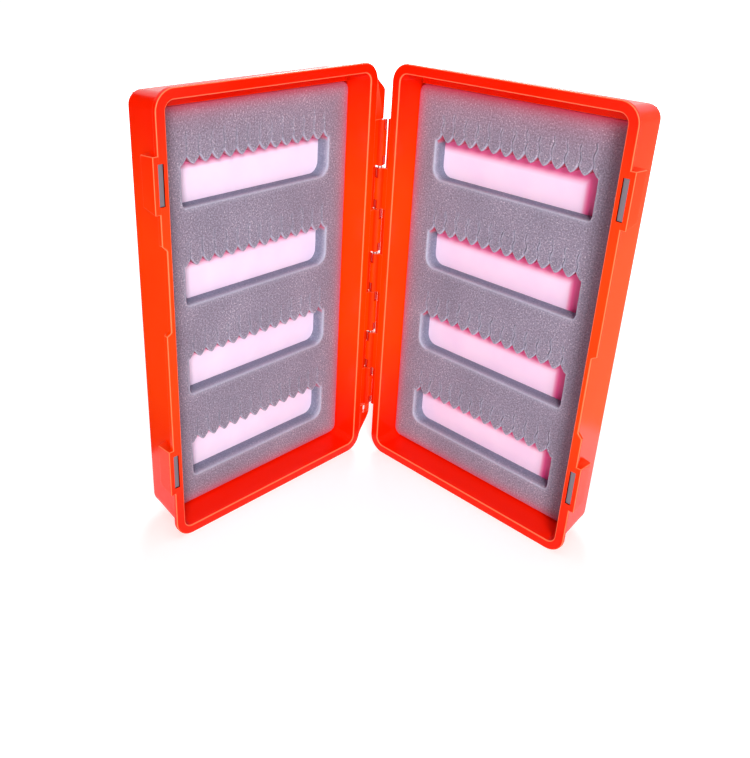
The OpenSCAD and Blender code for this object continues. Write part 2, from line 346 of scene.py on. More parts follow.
def skinnedBoard():
    # white foam board with a closed skin: smooth, a little waxy, faintly cloudy, with red shade
    # painted under the edges of the foam and a faint red glow painted over it
    material, tree = newMaterial("skinned white foam board")
    at = add(tree, "TexCoord").outputs["Object"]
    cloud = add(tree, "TexNoise", {"Scale": 90.0, "Detail": 3.0}, {"Vector": at})
    colour = ramp(tree, cloud.outputs["Fac"], boardLook["colours"])
    withRedGlowAndShade = tinted(tree, colour, "painted_red_glow_and_shade", boardLook["painted_red_glow_and_shade"])
    ripple = add(tree, "Bump", {"Strength": 0.1, "Distance": 0.0001},
                 {"Height": cloud.outputs["Fac"]})
    shader = add(tree, "BsdfPrincipled", {"Roughness": 0.42, "IOR": 1.59,
                                          "Specular IOR Level": 0.35},
                 {"Base Color": withRedGlowAndShade, "Normal": ripple.outputs[0]})
    add(tree, "OutputMaterial", {}, {"Surface": shader.outputs[0]})
    return material


def drawnMetal(name, colour, roughness, along, line):
    # a metal with fine lines along one axis: turned and drawn wire, or a ground plated bar
    material, tree = newMaterial(name)
    at = add(tree, "TexCoord").outputs["Object"]
    stretch = add(tree, "Mapping", {"Scale": along}, {"Vector": at})
    lines = add(tree, "TexNoise", {"Scale": 1000 / line, "Detail": 3.0},
                {"Vector": stretch.outputs[0]})
    rough = add(tree, "MapRange", {"From Min": 0.3, "From Max": 0.7,
                                   "To Min": roughness[0], "To Max": roughness[1]},
                {0: lines.outputs["Fac"]})
    scratch = add(tree, "Bump", {"Strength": 0.2, "Distance": 0.00003},
                  {"Height": lines.outputs["Fac"]})
    shader = add(tree, "BsdfPrincipled", {"Base Color": srgb(colour), "Metallic": 1.0},
                 {"Roughness": rough.outputs[0], "Normal": scratch.outputs[0]})
    add(tree, "OutputMaterial", {}, {"Surface": shader.outputs[0]})
    return material


finishes = {
    "red_abs": mouldedAbs("moulded ABS, polished", absLook["roughness"], absLook["swell"][0]),
    "weave": mouldedAbs("moulded ABS, woven texture", absLook["weaveRoughness"],
                        absLook["swell"][1]),
    "foam": cutFoam(),
    "white_board": skinnedBoard(),
    # drawn steel wire: bright, with lines along it
    "steel": drawnMetal("drawn steel wire", "#c6c5c6", (0.22, 0.36), (1, 1, 0.05), 0.12),
    # nickel-plated bar magnet: grey and a little cloudy, as ground plating is
    "magnet": drawnMetal("nickel plating, ground", "#857c84", (0.42, 0.58), (1, 1, 0.2), 0.2),
}


# Meshes
def buildMesh(name, points, quads, caps=(), marks=None):
    # quads is an (n, 4) array of point numbers, and each cap is one flat loop of any length.
    # marks are numbers at the points, by name, that the materials read
    tris = np.concatenate([quads[:, [0, 1, 2]], quads[:, [0, 2, 3]]]
                          + [np.stack([np.full(len(c) - 2, c[0]), c[1:-1], c[2:]], -1)
                             for c in map(np.asarray, caps)])
    a, b, c = (points[tris[:, k]] for k in range(3))
    if np.einsum("ij,ij->", a, np.cross(b, c)) < 0:  # a negative volume: it is inside out
        quads = quads[:, ::-1]
        caps = [list(c)[::-1] for c in caps]
    corners = np.concatenate([quads.ravel()] + [np.asarray(c) for c in caps])
    sizes = np.array([4] * len(quads) + [len(c) for c in caps])
    used, corners = np.unique(corners, return_inverse=True)
    mesh = bpy.data.meshes.new(name)
    mesh.vertices.add(len(used))
    mesh.vertices.foreach_set("co", points[used].astype(np.float32).ravel())
    mesh.loops.add(len(corners))
    mesh.loops.foreach_set("vertex_index", corners.astype(np.int32))
    mesh.polygons.add(len(sizes))
    mesh.polygons.foreach_set("loop_start", (np.cumsum(sizes) - sizes).astype(np.int32))
    mesh.update(calc_edges=True)
    for mark, values in (marks or {}).items():
        layer = mesh.attributes.new(mark, "FLOAT", "POINT")
        layer.data.foreach_set("value", values.ravel()[used].astype(np.float32))
    mesh.validate()
    return mesh


def markCornerHighlights(mesh):
    # marks each point for a painted highlight by how sharply the surface turns outwards there:
    # the angle between two faces, over how wide they are. A wide flat face beside a rounded corner
    # stays unmarked
    def read(items, what, width=1, kind=float):
        values = np.empty(len(items) * width, kind)
        items.foreach_get(what, values)
        return values.reshape(-1, width) if width > 1 else values

    edge = read(mesh.loops, "edge_index", kind=int)
    face = np.repeat(np.arange(len(mesh.polygons)), read(mesh.polygons, "loop_total", kind=int))
    order = np.argsort(edge, kind="stable")
    edge, face = edge[order], face[order]
    pair = np.flatnonzero(edge[1:] == edge[:-1])
    edge, one, other = edge[pair], face[pair], face[pair + 1]
    normal, centre = read(mesh.polygons, "normal", 3), read(mesh.polygons, "center", 3)
    area, at = read(mesh.polygons, "area"), read(mesh.vertices, "co", 3)
    ends = read(mesh.edges, "vertices", 2, int)[edge]
    length = np.linalg.norm(at[ends[:, 0]] - at[ends[:, 1]], axis=1)
    turn = np.arccos(np.clip(np.einsum("ij,ij->i", normal[one], normal[other]), -1, 1))
    outward = np.einsum("ij,ij->i", normal[one], centre[other] - centre[one]) < 0
    width = (area[one] + area[other]) / 2 / np.maximum(length, 1e-7)
    perMm = np.where(outward, turn / np.maximum(width, 1e-7), 0) / 1000
    marks = np.zeros(len(at))
    np.maximum.at(marks, ends.ravel(), np.repeat(perMm, 2))
    start, more = absLook["edgeTurn"]
    layer = mesh.attributes.new("painted_corner_highlight", "FLOAT", "POINT")
    layer.data.foreach_set("value", np.clip((marks - start) / more, 0, 1).astype(np.float32))


def bake(piece):
    # puts the modifiers' result in the mesh
    bpy.context.view_layer.update()
    shaped = piece.evaluated_get(bpy.context.evaluated_depsgraph_get())
    done = bpy.data.meshes.new_from_object(shaped)
    piece.modifiers.clear()
    piece.data = done
    done.name = piece.name


def makePiece(name, mesh, half, finish, bevel=0.0, cutters=(), smoothTo=38, segments=3):
    # rounds the edges, makes the cuts, smooths up to an angle, and sends it off with its half
    piece = inScene(name, mesh)
    if bevel:
        rounding = piece.modifiers.new("rounding", "BEVEL")
        rounding.width, rounding.segments = bevel * 0.001, segments
        rounding.limit_method, rounding.angle_limit = "ANGLE", np.radians(35)
    for cutter in cutters:
        cut = piece.modifiers.new("cut", "BOOLEAN")
        cut.operation, cut.solver, cut.object = "DIFFERENCE", "EXACT", cutter
    if cutters or bevel:
        bake(piece)
    piece.data.shade_smooth()
    piece.data.set_sharp_from_angle(angle=np.radians(smoothTo))
    if cutters or bevel:
        flats = piece.modifiers.new("flats stay flat", "WEIGHTED_NORMAL")
        flats.keep_sharp = True
        bake(piece)
    # red ABS pieces get the mark for their painted corner highlight
    if finish == "red_abs":
        markCornerHighlights(piece.data)
    piece.data.materials.clear()
    piece.data.materials.append(finishes[finish])
    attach(piece, half)
    return piece


def gridQuads(rows, columns, closedRows=False, closedColumns=True):
    # point numbers of the quads on a grid of rows by columns, closed round either way
    i = np.arange(rows if closedRows else rows - 1)
    j = np.arange(columns if closedColumns else columns - 1)
    i, j = np.meshgrid(i, j, indexing="ij")
    ni, nj = (i + 1) % rows, (j + 1) % columns
    return np.stack([i * columns + j, i * columns + nj, ni * columns + nj, ni * columns + j],
                    -1).reshape(-1, 4)


def arc(centreA, centreB, radius, start, end, count):
    # points round a circle, angles in degrees
    t = np.radians(np.linspace(start, end, count))
    return np.stack([centreA + radius * np.cos(t), centreB + radius * np.sin(t)], -1)


# The two moulded shells
shellSize = {
    "hingeSide": 3.3,    # u of the flange by the hinge
    "width": 90.5,
    "length": 155.0,
    "depth": 21.5,
    "backWall": 1.7,
    "draft": 4.8,
    "flangeOver": 1.6,
    "rimWidth": 3.4,
    "rimAt": 0.15,       # the rim stops short of the parting plane
    "cornerR": 6.5,
    "backFillet": 3.0,
    "backCornerR": 4.6,
    "floorFillet": 1.5,
    "innerCornerR": 3.05,
    "flange": {"lid": 2.0, "base": 1.4},
    "flangeFillet": 0.3,   # under the flange
    "edgeR": 0.32,         # round the flange's edges
    "rimR": 0.45,          # over the rim into the tray
    "notch": {"lid": (79.7, 108.5), "base": (48.2, 77.0)},
    "pads": (28.2, 127.6),
    "padLength": 17.6,
    "padDeep": 7.0,
    "padOut": 1.7,
    "padRoot": 3.0,      # how far into the flange it starts
    "padDraw": 0.25,     # how much its face draws in over its depth
    "padSlope": 1.3,     # depth over which it runs back to the wall
    "magnet": (12.7, 1.8, 4.8),
    "magnetAt": 92.9,    # u of its middle
    "magnetSunk": 0.3,   # below the rim
    "magnetPlay": 0.1,   # between it and its pocket
}


def roundedPath(cornerSteps, shortSteps, longStations):
    # once round a rounded rectangle. Each point has its share of the way between the corner
    # centres, across and along, and the outward direction that its corner radius is taken in
    short = np.linspace(0, 1, shortSteps + 1)[1:-1]
    # each corner, the angle that it starts at, and the side after it
    sides = ((1, 0, -90, 1, longStations), (1, 1, 0, 1 - short, 1),
             (0, 1, 90, 0, longStations[::-1]), (0, 0, 180, 1 - short[::-1], 0))
    share, outward = [], []
    for across, along, start, sideAcross, sideAlong in sides:
        turn = np.radians(np.linspace(start, start + 90, cornerSteps + 1))
        side = np.stack(np.broadcast_arrays(sideAcross, sideAlong), -1)
        share += [np.tile([across, along], (cornerSteps + 1, 1)), side]
        outward += [np.stack([np.cos(turn), np.sin(turn)], -1),
                    np.tile([np.cos(turn[-1]), np.sin(turn[-1])], (len(side), 1))]
    return np.concatenate(share).astype(float), np.concatenate(outward)


def shellProfile(half):
    # rows of (inset, depth, corner radius, inset where the finger notch is): from the back,
    # round its fillet, up the drafted wall, round the flange, over the rim and down inside
    s = shellSize
    slope = np.tan(np.radians(s["draft"]))
    flange, rim, over = s["flange"][half], s["rimAt"], s["flangeOver"]
    fillet, edge, lip = s["flangeFillet"], s["edgeR"], s["rimR"]
    deep = s["depth"] - s["backFillet"]
    rows = []
    centre = over + deep * slope + s["backFillet"]
    for c, sn in arc(0, 0, 1, 90, s["draft"], 9):
        rows.append((centre - s["backFillet"] * c, deep + s["backFillet"] * sn,
                     s["backCornerR"] - s["backFillet"] * (1 - c), None))
    top, low = rows[-1], (over + 0.012, 0.55, s["cornerR"] - over)

    def wall(depth):
        t = (depth - low[1]) / (top[1] - low[1])
        return low[0] + t * (top[0] - low[0])

    for depth in np.linspace(top[1], flange + fillet + 0.05, 7)[1:]:
        rows.append((wall(depth), depth, s["cornerR"] - over, None))
    for c, sn in arc(0, 0, fillet, 0, 90, 4)[1:]:
        rows.append((wall(flange) - fillet + c, flange + fillet - sn, None, wall(flange)))
    for inset in (0.9, edge):
        rows.append((inset, flange, None, wall(flange)))
    for a, b in arc(edge, flange - edge, edge, 90, 0, 5)[1:]:
        rows.append((2 * edge - a, b, None, wall(b)))
    for a, b in arc(edge, rim + edge, edge, 0, -90, 5):
        rows.append((2 * edge - a, b, None, over + 2 * edge - a))
    for inset in (1.0, 1.9):
        rows.append((inset, rim, None, max(inset, over + edge + 0.1 * inset)))
    inner, innerR = s["rimWidth"] + 0.05, s["innerCornerR"]
    for a, b in arc(inner - lip, rim + lip, lip, -90, -10, 6):
        rows.append((a, b, max(s["cornerR"] - a, 3.0), None))
    turn = s["depth"] - s["backWall"] - s["floorFillet"]
    foot, start = s["rimWidth"] + turn * slope, rim + lip + 0.05
    for t in np.linspace(0, 1, 6)[1:]:
        rows.append((inner + t * (foot - inner), start + t * (turn - start), innerR, None))
    for c, sn in arc(0, 0, s["floorFillet"], 0, 90, 6)[1:]:
        rows.append((foot + s["floorFillet"] - c, turn + sn,
                     innerR - (s["floorFillet"] - c), None))
    return [(a, b, s["cornerR"] - a if r is None else r, a if n is None else n)
            for a, b, r, n in rows]


def shellMesh(half):
    # the profile carried round the rounded rectangle, with its flange drawn in at the notch:
    # place = corner centre at (inset + r) + r * outward
    s = shellSize
    start, end = s["notch"][half]
    span = s["length"] - 2 * s["cornerR"]
    near = np.concatenate([np.linspace(-2.2, 2.2, 23) + v for v in (start, end)])
    stations = np.unique(np.concatenate([np.linspace(0, 1, 26)[1:-1],
                                         (near - s["cornerR"]) / span]))
    share, outward = roundedPath(14, 14, stations)
    inset, depth, radius, notched = (np.array(c)[:, None] for c in zip(*shellProfile(half)))

    def place(inset, radius):
        u = inset + radius + (s["width"] - 2 * (inset + radius)) * share[:, 0]
        v = inset + radius + (s["length"] - 2 * (inset + radius)) * share[:, 1]
        return s["hingeSide"] + u + radius * outward[:, 0], v + radius * outward[:, 1]

    v = place(inset, radius)[1]
    ramp = np.clip(np.minimum(v - start, end - v) / 1.3 + 0.5, 0, 1)
    ramp = ramp * ramp * (3 - 2 * ramp) * ((share[:, 0] == 1) & (outward[:, 0] > 0.999))
    inset = inset + (notched - inset) * ramp
    u, v = place(inset, radius)
    points = np.stack([u, v, np.broadcast_to(depth, u.shape)], -1)
    rows, columns = u.shape
    quads = gridQuads(rows, columns)
    caps = [list(range(columns))[::-1], list(range((rows - 1) * columns, rows * columns))]
    return buildMesh(half + " shell", onHalf(points.reshape(-1, 3), half), quads, caps)


def prism(name, outline, axis, low, high, half, paintedShade=0.0):
    # a flat outline carried straight along one axis: "u", "v" or "w"
    outline = np.asarray(outline, float)
    n = len(outline)
    ends = np.repeat([low, high], n)[:, None]
    pair = np.tile(outline, (2, 1))
    k = "uvw".index(axis)
    points = np.insert(pair, [k], ends, axis=1)
    quads = gridQuads(2, n)
    return buildMesh(name, onHalf(points, half), quads,
                     [list(range(n))[::-1], list(range(n, 2 * n))],
                     {"painted_shade": np.full(2 * n, paintedShade)})


def rectangle(a0, b0, a1, b1):
    return [(a0, b0), (a1, b0), (a1, b1), (a0, b1)]


def makeCutter(outline, low, high, half):
    # a hidden prism along w that makePiece cuts with
    return inScene("cutter", prism("cutter", outline, "w", low, high, half))


def slotCutter(y, half):
    # the pocket that a bar magnet sits in
    s = shellSize
    length, width, deep = s["magnet"]
    mid, u, v = s["magnetAt"], width / 2 + s["magnetPlay"], length / 2 + s["magnetPlay"]
    return makeCutter(rectangle(mid - u, y - v, mid + u, y + v), -1,
                      s["rimAt"] + s["magnetSunk"] + deep, half)


def padMesh(y, half):
    # a block on the free edge, drawn as three outlines from the rim back: it draws in a little
    # to the depth of the magnet, more at its lower end, and then slopes back to the wall
    s = shellSize
    slope = np.tan(np.radians(s["draft"]))
    free = s["hingeSide"] + s["width"]
    root, deep, face = free - s["padRoot"], s["padDeep"], free + s["padOut"]
    layers = []
    for w, face in ((s["rimAt"] + 0.01, face), (deep, face - s["padDraw"]),
                    (deep + s["padSlope"], root + 0.3)):
        low = y - s["padLength"] / 2 + 2 * slope * w
        high = y + s["padLength"] / 2 - slope * w
        layers.append([(root, low, w), (face, low, w), (face, high, w), (root, high, w)])
    points = np.array(layers).reshape(-1, 3)
    return buildMesh("pad", onHalf(points, half), gridQuads(3, 4),
                     [[3, 2, 1, 0], [8, 9, 10, 11]])


# the rib that the foam's upper edge stops at: u, v and w of its two ends
foamStop = {"across": (8.4, 88.7), "along": (147.68, 151.0), "deep": (10.15, 19.9)}

for half in ("lid", "base"):
    (low, high), (near, far), (front, back) = (foamStop[k] for k in ("across", "along", "deep"))
    rib = prism("rib", rectangle(near, front, far, back), "u", low, high, half)
    rib = makePiece(half + "_foam_stop", rib, half, "red_abs", bevel=0.12, segments=2)
    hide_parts(half + "_shell")
    cutters = [slotCutter(y, half) for y in shellSize["pads"]]
    shell = makePiece(half + "_moulding", shellMesh(half), half, "red_abs", cutters=cutters)
    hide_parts(half + "_shell")
    for y, where, cutter in zip(shellSize["pads"], ("lower", "upper"), cutters):
        pad = makePiece(f"{half}_pad_{where}", padMesh(y, half), half, "red_abs", bevel=0.42,
                        cutters=[cutter], segments=4)
        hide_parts(half + "_shell")
    for cutter in cutters:
        bpy.data.objects.remove(cutter)
print("shells moulded")


# The hinge
hingeSize = {
    "low": 19.9,
    "pitch": 16.457,
    "barrelR": 1.8,
    "bore": {"lid": 0.82, "base": 0.86},
    "turns": {"lid": (0, 2, 4, 6), "base": (1, 3, 5)},
    "gap": {"lid": (0.0, 0.0), "base": (0.25, 0.9)},  # below and above each barrel
    "chamfer": 0.15,     # at a barrel's ends
    "pocket": 3.6,       # length of the pocket at either end of a barrel
    "pocketStep": 0.08,  # length of the slope at its inner end
    "pocketAt": -0.9,    # w of its floor
    "pocketTo": 0.9,     # u where it ends
    "coreR": 1.2,        # radius of the core that stays round the pin
    "ledge": (1.74, 0.62),  # u and w of the sunken ledge beside each of the other half's barrels
    "topLedge": (1.85, 0.9),  # beside the topmost, where more light comes through
    # how far a ledge runs past its knuckle, downwards and upwards
    "ledgePast": {"lid": (0.1, 0.1), "base": (0.92, 0.37)},
    "lowestPast": 0.1,   # below the lowest, which clears the tongue when the box is open flat
    "into": 4.3,         # u at which webs, ledges and lugs end inside the flange
    "front": 0.18,       # w of the face of webs and lugs
    "webFrom": 1.0,      # u at which a web starts, inside its barrel
    "behind": 0.02,      # how far webs and lugs stay short of the flange's back
}


def barrelMesh(low, high, half):
    # a tube whose front is cut away beside a core near its ends: there the radius is how far a
    # ray from the pin goes before it meets the pocket's floor, and never less than the core's
    s = hingeSize
    r, bore, p = s["barrelR"], s["bore"][half], s["pocket"]
    c, step = s["chamfer"], s["pocketStep"]
    end = np.degrees(np.arccos(s["pocketTo"] / r))
    turn = np.radians(np.unique(np.concatenate([np.linspace(0, 360, 73)[:-1],
                                                [359.9 - end, 360.1 - end]])))
    stations = [(low, r - c), (low + c, r), (low + p, r), (low + p + step, r),
                (high - p - step, r), (high - p, r), (high - c, r), (high, r - c),
                (high, bore), ((low + high) / 2, bore), (low, bore)]
    v, radius = (np.array(column)[:, None] for column in zip(*stations))
    reach = s["pocketAt"] / np.minimum(np.sin(turn), -1e-3)
    cut = (np.sin(turn) < 0) & (np.cos(turn) < s["pocketTo"] / r)
    pocket = (v < low + p + 0.01) | (v > high - p - 0.01)
    radius = np.where(pocket & cut & (radius > bore),
                      np.minimum(radius, np.maximum(reach, s["coreR"])), radius)
    u, w = radius * np.cos(turn), radius * np.sin(turn)
    points = np.stack([u, np.broadcast_to(v, u.shape), w], -1).reshape(-1, 3)
    quads = gridQuads(len(stations), len(turn), closedRows=True)
    # painted shade in the pockets and where the barrel runs down to its flange
    paintedShade = np.maximum(pocket & cut, 0.55 * np.clip((np.cos(turn) - 0.5) / 0.4, 0, 1))
    return buildMesh("barrel", onHalf(points, half), quads, marks={"painted_shade": paintedShade})


def lugOutline(low, length, reach, way, ramp):
    # a straight lug that runs out over a ramp, part straight and part an S, into the flange
    t = np.linspace(0, 1, 17)
    into, flangeEdge = hingeSize["into"], 3.5
    ease = 0.4 * t + 0.6 * (1 - np.cos(np.pi * t)) / 2
    curve = np.stack([reach + (flangeEdge - reach) * ease, low + way * (length + ramp * t)], -1)
    return np.concatenate([[(into, low), (reach, low)], curve, [(into, curve[-1, 1])]])


for half in ("lid", "base"):
    s, thick = hingeSize, shellSize["flange"][half]
    below, above = s["gap"][half]
    for k in s["turns"][half]:
        low, high = s["low"] + k * s["pitch"] + below, s["low"] + (k + 1) * s["pitch"] - above
        barrel = makePiece(f"{half}_knuckle_{k + 1}", barrelMesh(low, high, half), half, "red_abs")
        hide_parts(half + "_shell")
        web = prism("web", rectangle(low, s["front"], high, thick - s["behind"]), "u",
                    s["webFrom"], s["into"], half)
        web = makePiece(f"{half}_web_{k + 1}", web, half, "red_abs", bevel=0.12, segments=2)
        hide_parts(half + "_shell")
    below, above = s["ledgePast"][half]
    for k in s["turns"]["base" if half == "lid" else "lid"]:
        ledgeU, ledgeW = s["topLedge" if k == 6 else "ledge"]
        low = s["low"] + k * s["pitch"] - (below if k else s["lowestPast"])
        high = s["low"] + (k + 1) * s["pitch"] + above
        # each sunk ledge carries painted shade
        ledge = prism("ledge", rectangle(low, ledgeW, high, thick - 0.03), "u", ledgeU, s["into"],
                      half, paintedShade=0.7)
        ledge = makePiece(f"{half}_ledge_{k + 1}", ledge, half, "red_abs", bevel=0.1, segments=2)
        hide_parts(half + "_shell")

# lugs: (v that it starts at, length, u that it reaches, up or down, length of its ramp), bevel
lugs = {
    "stop": ((134.95, 10.15, -0.8, 1, 4.9), 0.35),
    "tongue": ((19.3, 4.4, -1.9, -1, 10), 0.3),
}
tongueSlot = (-0.95, 15.4, 1.9, 18.7)  # u and v of its ends. It lets the tongue bend
for name, (size, bevel) in lugs.items():
    lug = prism(name, lugOutline(*size), "w", hingeSize["front"],
                shellSize["flange"]["lid"] - hingeSize["behind"], "lid")
    cutters = [makeCutter(rectangle(*tongueSlot), -1, 4, "lid")] if name == "tongue" else []
    lug = makePiece("lid_" + name, lug, "lid", "red_abs", bevel=bevel, cutters=cutters)
    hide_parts("lid_shell")
    for cutter in cutters:
        bpy.data.objects.remove(cutter)
print("hinge set")


# The slit foam and the boards
foamSize = {
    "face": 10.0,
    "back": 15.5,
    "edge": (7.64, 4.94, 89.46, 147.66),
    "cornerR": 3.0,
    "across": (16.5, 79.2),
    "firstRow": 15.3,
    "rowPitch": 33.4,
    "rows": 4,
    "height": 16.2,
    "teeth": 13,         # tooth pitches across a window, half a tooth at either side
    "toothDeep": 3.1,
    "toothFade": 8.5,    # mm up and down over which the zigzag fades out
    "hingeR": 4.0,
    "freeR": 1.6,
    "slitLength": 7.4,
    "slitVaries": 0.7,   # by how much slits are longer or shorter
    "slitEnd": 1.2,      # mm over which a slit runs out
    "slitDeep": 0.6,
    "slitWidth": 0.16,
    "lip": 0.15,         # how far a slit's two lips stand up
    "swag": 0.10,        # how far the face sinks towards a slit
    "edgeRound": 0.38,
    "grid": 1.6,         # mm between points away from the edges
    "wave": {"lid": 0.16, "base": 0.34},  # how far a slit wanders, in mm
    # how strongly red shade is painted under the shell's top wall, on the teeth's flanks and on
    # the windows' free ends
    "underTop": {"lid": 0.12, "base": 0.34},
    "flanks": {"lid": 0.68, "base": 0.85},
    "highlightedLips": {"lid": 0.3, "base": 0.65},  # how strong the highlight painted on one lip of each slit is
    "freeEnds": {"lid": 0.1, "base": 0.5},
}


def spread(start, end, near, step):
    # stations from start to end, close together near both ends and step apart between
    near = np.array(near)
    middle = np.linspace(start + near[-1], end - near[-1],
                         max(2, int(round((end - start - 2 * near[-1]) / step)) + 1))
    return np.unique(np.round(np.concatenate([start + near, middle, end - near]), 4))


def roundCorner(u, v, centre, way, radius, reach=5.0):
    # bends square rings round a corner's centre into circles, as wide as the corner's radius,
    # and lets them go back to squares over reach. way points from the centre to the corner
    a, b = (u - centre[0]) * way[0], (v - centre[1]) * way[1]
    square = np.maximum(a, b)
    circle = np.hypot(a, b)
    ratio = square / np.maximum(circle, 1e-6)
    fade = np.clip((radius + reach - square) / reach, 0, 1)
    fade = fade * fade * (3 - 2 * fade)
    scale = np.where((a > 0) & (b > 0), 1 + (ratio - 1) * fade, 1)
    return centre[0] + (u - centre[0]) * scale, centre[1] + (v - centre[1]) * scale


def roundOutline(u, v, edge, radius):
    # rounds the four corners of a grid's outline
    u0, v0, u1, v1 = edge
    for cu, cv, way in ((u0 + radius, v0 + radius, (-1, -1)), (u1 - radius, v0 + radius, (1, -1)),
                        (u1 - radius, v1 - radius, (1, 1)), (u0 + radius, v1 - radius, (-1, 1))):
        u, v = roundCorner(u, v, (cu, cv), way, radius, 0.001)
    return u, v


def sheetMesh(name, half, grid, back, mark, values, atWall):
    # a grid closed by a wall round its outline and a flat back, with one mark at its points
    rows, cols = grid[0].shape
    face = np.stack(grid, -1).reshape(-1, 3)
    number = np.arange(rows * cols).reshape(rows, cols)
    rim = np.concatenate([number[0, :-1], number[:-1, -1], number[-1, :0:-1], number[:0:-1, 0]])
    points = np.concatenate([face, face[rim] * (1, 1, 0) + (0, 0, back)])
    low = len(face) + np.arange(len(rim))
    skirt = np.stack([np.roll(rim, -1), rim, low, np.roll(low, -1)], -1)
    quads = np.concatenate([gridQuads(rows, cols, closedColumns=False), skirt])
    return buildMesh(name, onHalf(points, half), quads, [low[::-1]],
                     {mark: np.append(values, np.full(len(rim), atWall))})


def foamMesh(half):
    # a grid over the insert's face with its windows left out. Rows near a window's top follow
    # its teeth, slits run up from the notches, and walls go from every edge to the board
    s = foamSize
    u0, v0, u1, v1 = s["edge"]
    x0, x1 = s["across"]
    pitch = (x1 - x0) / s["teeth"]
    near, step = (0, 0.08, 0.18, 0.38, 0.7), s["grid"]
    halfTooth = np.array([0, 0.12, 0.26, 0.45, 0.72, 1.15, 1.75]) / 2.41
    tooth = np.concatenate([halfTooth, [1], 2 - halfTooth[::-1]]) * pitch / 2
    columns = [spread(u0, x0, near, step), spread(x1, u1, near, step)]
    columns += [x0 + (k - 0.5) * pitch + tooth for k in range(s["teeth"] + 1)]
    tops = [s["firstRow"] + k * s["rowPitch"] + s["height"] for k in range(s["rows"])]
    slit = np.array([*near, *np.arange(1.1, 8.6, 0.42)])
    bands, low = [], v0
    for top in tops:
        bands += [spread(low, top - s["height"], near, step),
                  np.linspace(top - s["height"], top, 11), top + slit]
        low = top + slit[-1]
    bands.append(spread(low, v1, near, step))
    us, vs = (np.unique(np.round(np.concatenate(c), 3)) for c in (columns, bands))
    us, vs = (c[np.append(True, np.diff(c) > 0.02)] for c in (us, vs))
    u, v = np.meshgrid(us, vs)

    # how far each point is from the nearest edge, which rounds that edge
    inside = np.minimum.reduce([u - u0, u1 - u, v - v0, v1 - v])
    across = np.maximum(np.maximum(x0 - u, u - x1), 0)
    away = inside
    for top in tops:
        along = np.maximum(np.maximum(top - s["height"] - v, v - top), 0)
        away = np.minimum(away, np.hypot(across, along))
    r = s["edgeRound"]
    w = s["face"] + r - np.sqrt(np.maximum(r * r - np.maximum(r - away, 0) ** 2, 0))

    # teeth: a zigzag from notch to tip, that fades out upwards, downwards and to the sides
    phase = np.abs(((u - x0) / pitch) % 1 - 0.5) * 2   # 0 at a notch, 1 at a tip
    phase = np.where((u < x0) | (u > x1), 1, phase)
    dip = s["toothDeep"] * (0.7 * phase + 0.3 * np.sin(np.pi / 2 * phase) - 0.12 * phase ** 6)
    dip = dip * np.clip(1 - across / 6, 0, 1) ** 2
    fromNotch = ((u - x0) / pitch % 1 - 0.5) * pitch   # mm across from the nearest notch
    number = np.floor((u - x0) / pitch)
    inWindow = (u > x0 - 0.01) & (u < x1 + 0.01)

    def slitAt(rise, row):
        # 1 along a slit, from its notch up, and fading out to 0 at its end
        length = s["slitLength"] + s["slitVaries"] * np.sin(number * 2.3 + row * 1.7)
        return np.clip((length - rise) / s["slitEnd"], 0, 1) * (rise > -0.01) * inWindow

    newU, newV = u.copy(), v.copy()
    for row, top in enumerate(tops):
        rise = v - top
        fade = np.clip(1 - np.abs(rise) / s["toothFade"], 0, 1)
        newV -= dip * fade * fade * (3 - 2 * fade)
        # slits: a narrow V with soft lips, wandering a little, and a rounded tooth on each side
        on = slitAt(rise, row)
        w += on * s["slitDeep"] * np.clip(1 - np.abs(fromNotch) / s["slitWidth"], 0, 1)
        w -= on * s["lip"] * np.exp(-((np.abs(fromNotch) - 0.6) / 0.25) ** 2)
        w += on * s["swag"] * np.clip(1 - np.abs(fromNotch) / 1.6, 0, 1)
        wander = np.sin(rise * 1.15 + number * 1.9 + row) * np.clip(rise / 2, 0, 1)
        newU += on * s["wave"][half] * wander * np.cos(np.pi * fromNotch / pitch) ** 2
    u, v = newU, newV
    for top in tops:
        bottom = top - s["height"]
        a, b = s["hingeR"], s["freeR"]
        u, v = roundCorner(u, v, (x0 + a, bottom + a), (-1, -1), a, 4)
        u, v = roundCorner(u, v, (x1 - b, bottom + b), (1, -1), b, 4)
    u, v = roundOutline(u, v, s["edge"], s["cornerR"])

    # painted marks: a highlight along the cuts, a red glow from the shell round the outside, and
    # red shade under the teeth, on the walls that face down
    cut = np.exp(-(away / 0.55) ** 2) * (away < inside - 0.01)
    painted_cut_highlight = [0.6 * cut]
    # red glow painted round the outside, and red shade painted under the shell's top wall
    painted_red_glow_and_shade = [0.8 * np.exp(-inside / 1.8) + s["underTop"][half] * np.exp((v - v1) / 5.0)]
    under = np.zeros_like(u)
    for row, top in enumerate(tops):
        rise = vs[:, None] - top
        # a highlight painted on one lip of each slit
        lip = slitAt(rise, row) * np.exp(-((fromNotch - 0.42) / 0.2) ** 2)
        painted_cut_highlight[0] = np.maximum(painted_cut_highlight[0], s["highlightedLips"][half] * lip)
        # red shade painted on the teeth's down-facing flanks
        under = np.maximum(under, s["flanks"][half] * (np.abs(rise) < 0.02) * inWindow)
    # and on the windows' free ends
    end = (np.abs(us - x1) < 0.02) & (away < 0.01)
    under = np.maximum(under, s["freeEnds"][half] * end)
    # painted shade on the walls, more of it further back, with a painted highlight on their front
    # part and the painted red glow and shade carried back
    wall = [np.zeros_like(u)]
    for share in (0.2, 0.55, 0.62, 0.62):
        wall.append(share * (away < 0.01) * (under < 0.2))
        painted_cut_highlight.append(0.6 * (0.7 - share) * (away < 0.01) * (share < 0.5))
        painted_red_glow_and_shade.append(np.maximum(under, painted_red_glow_and_shade[0]))

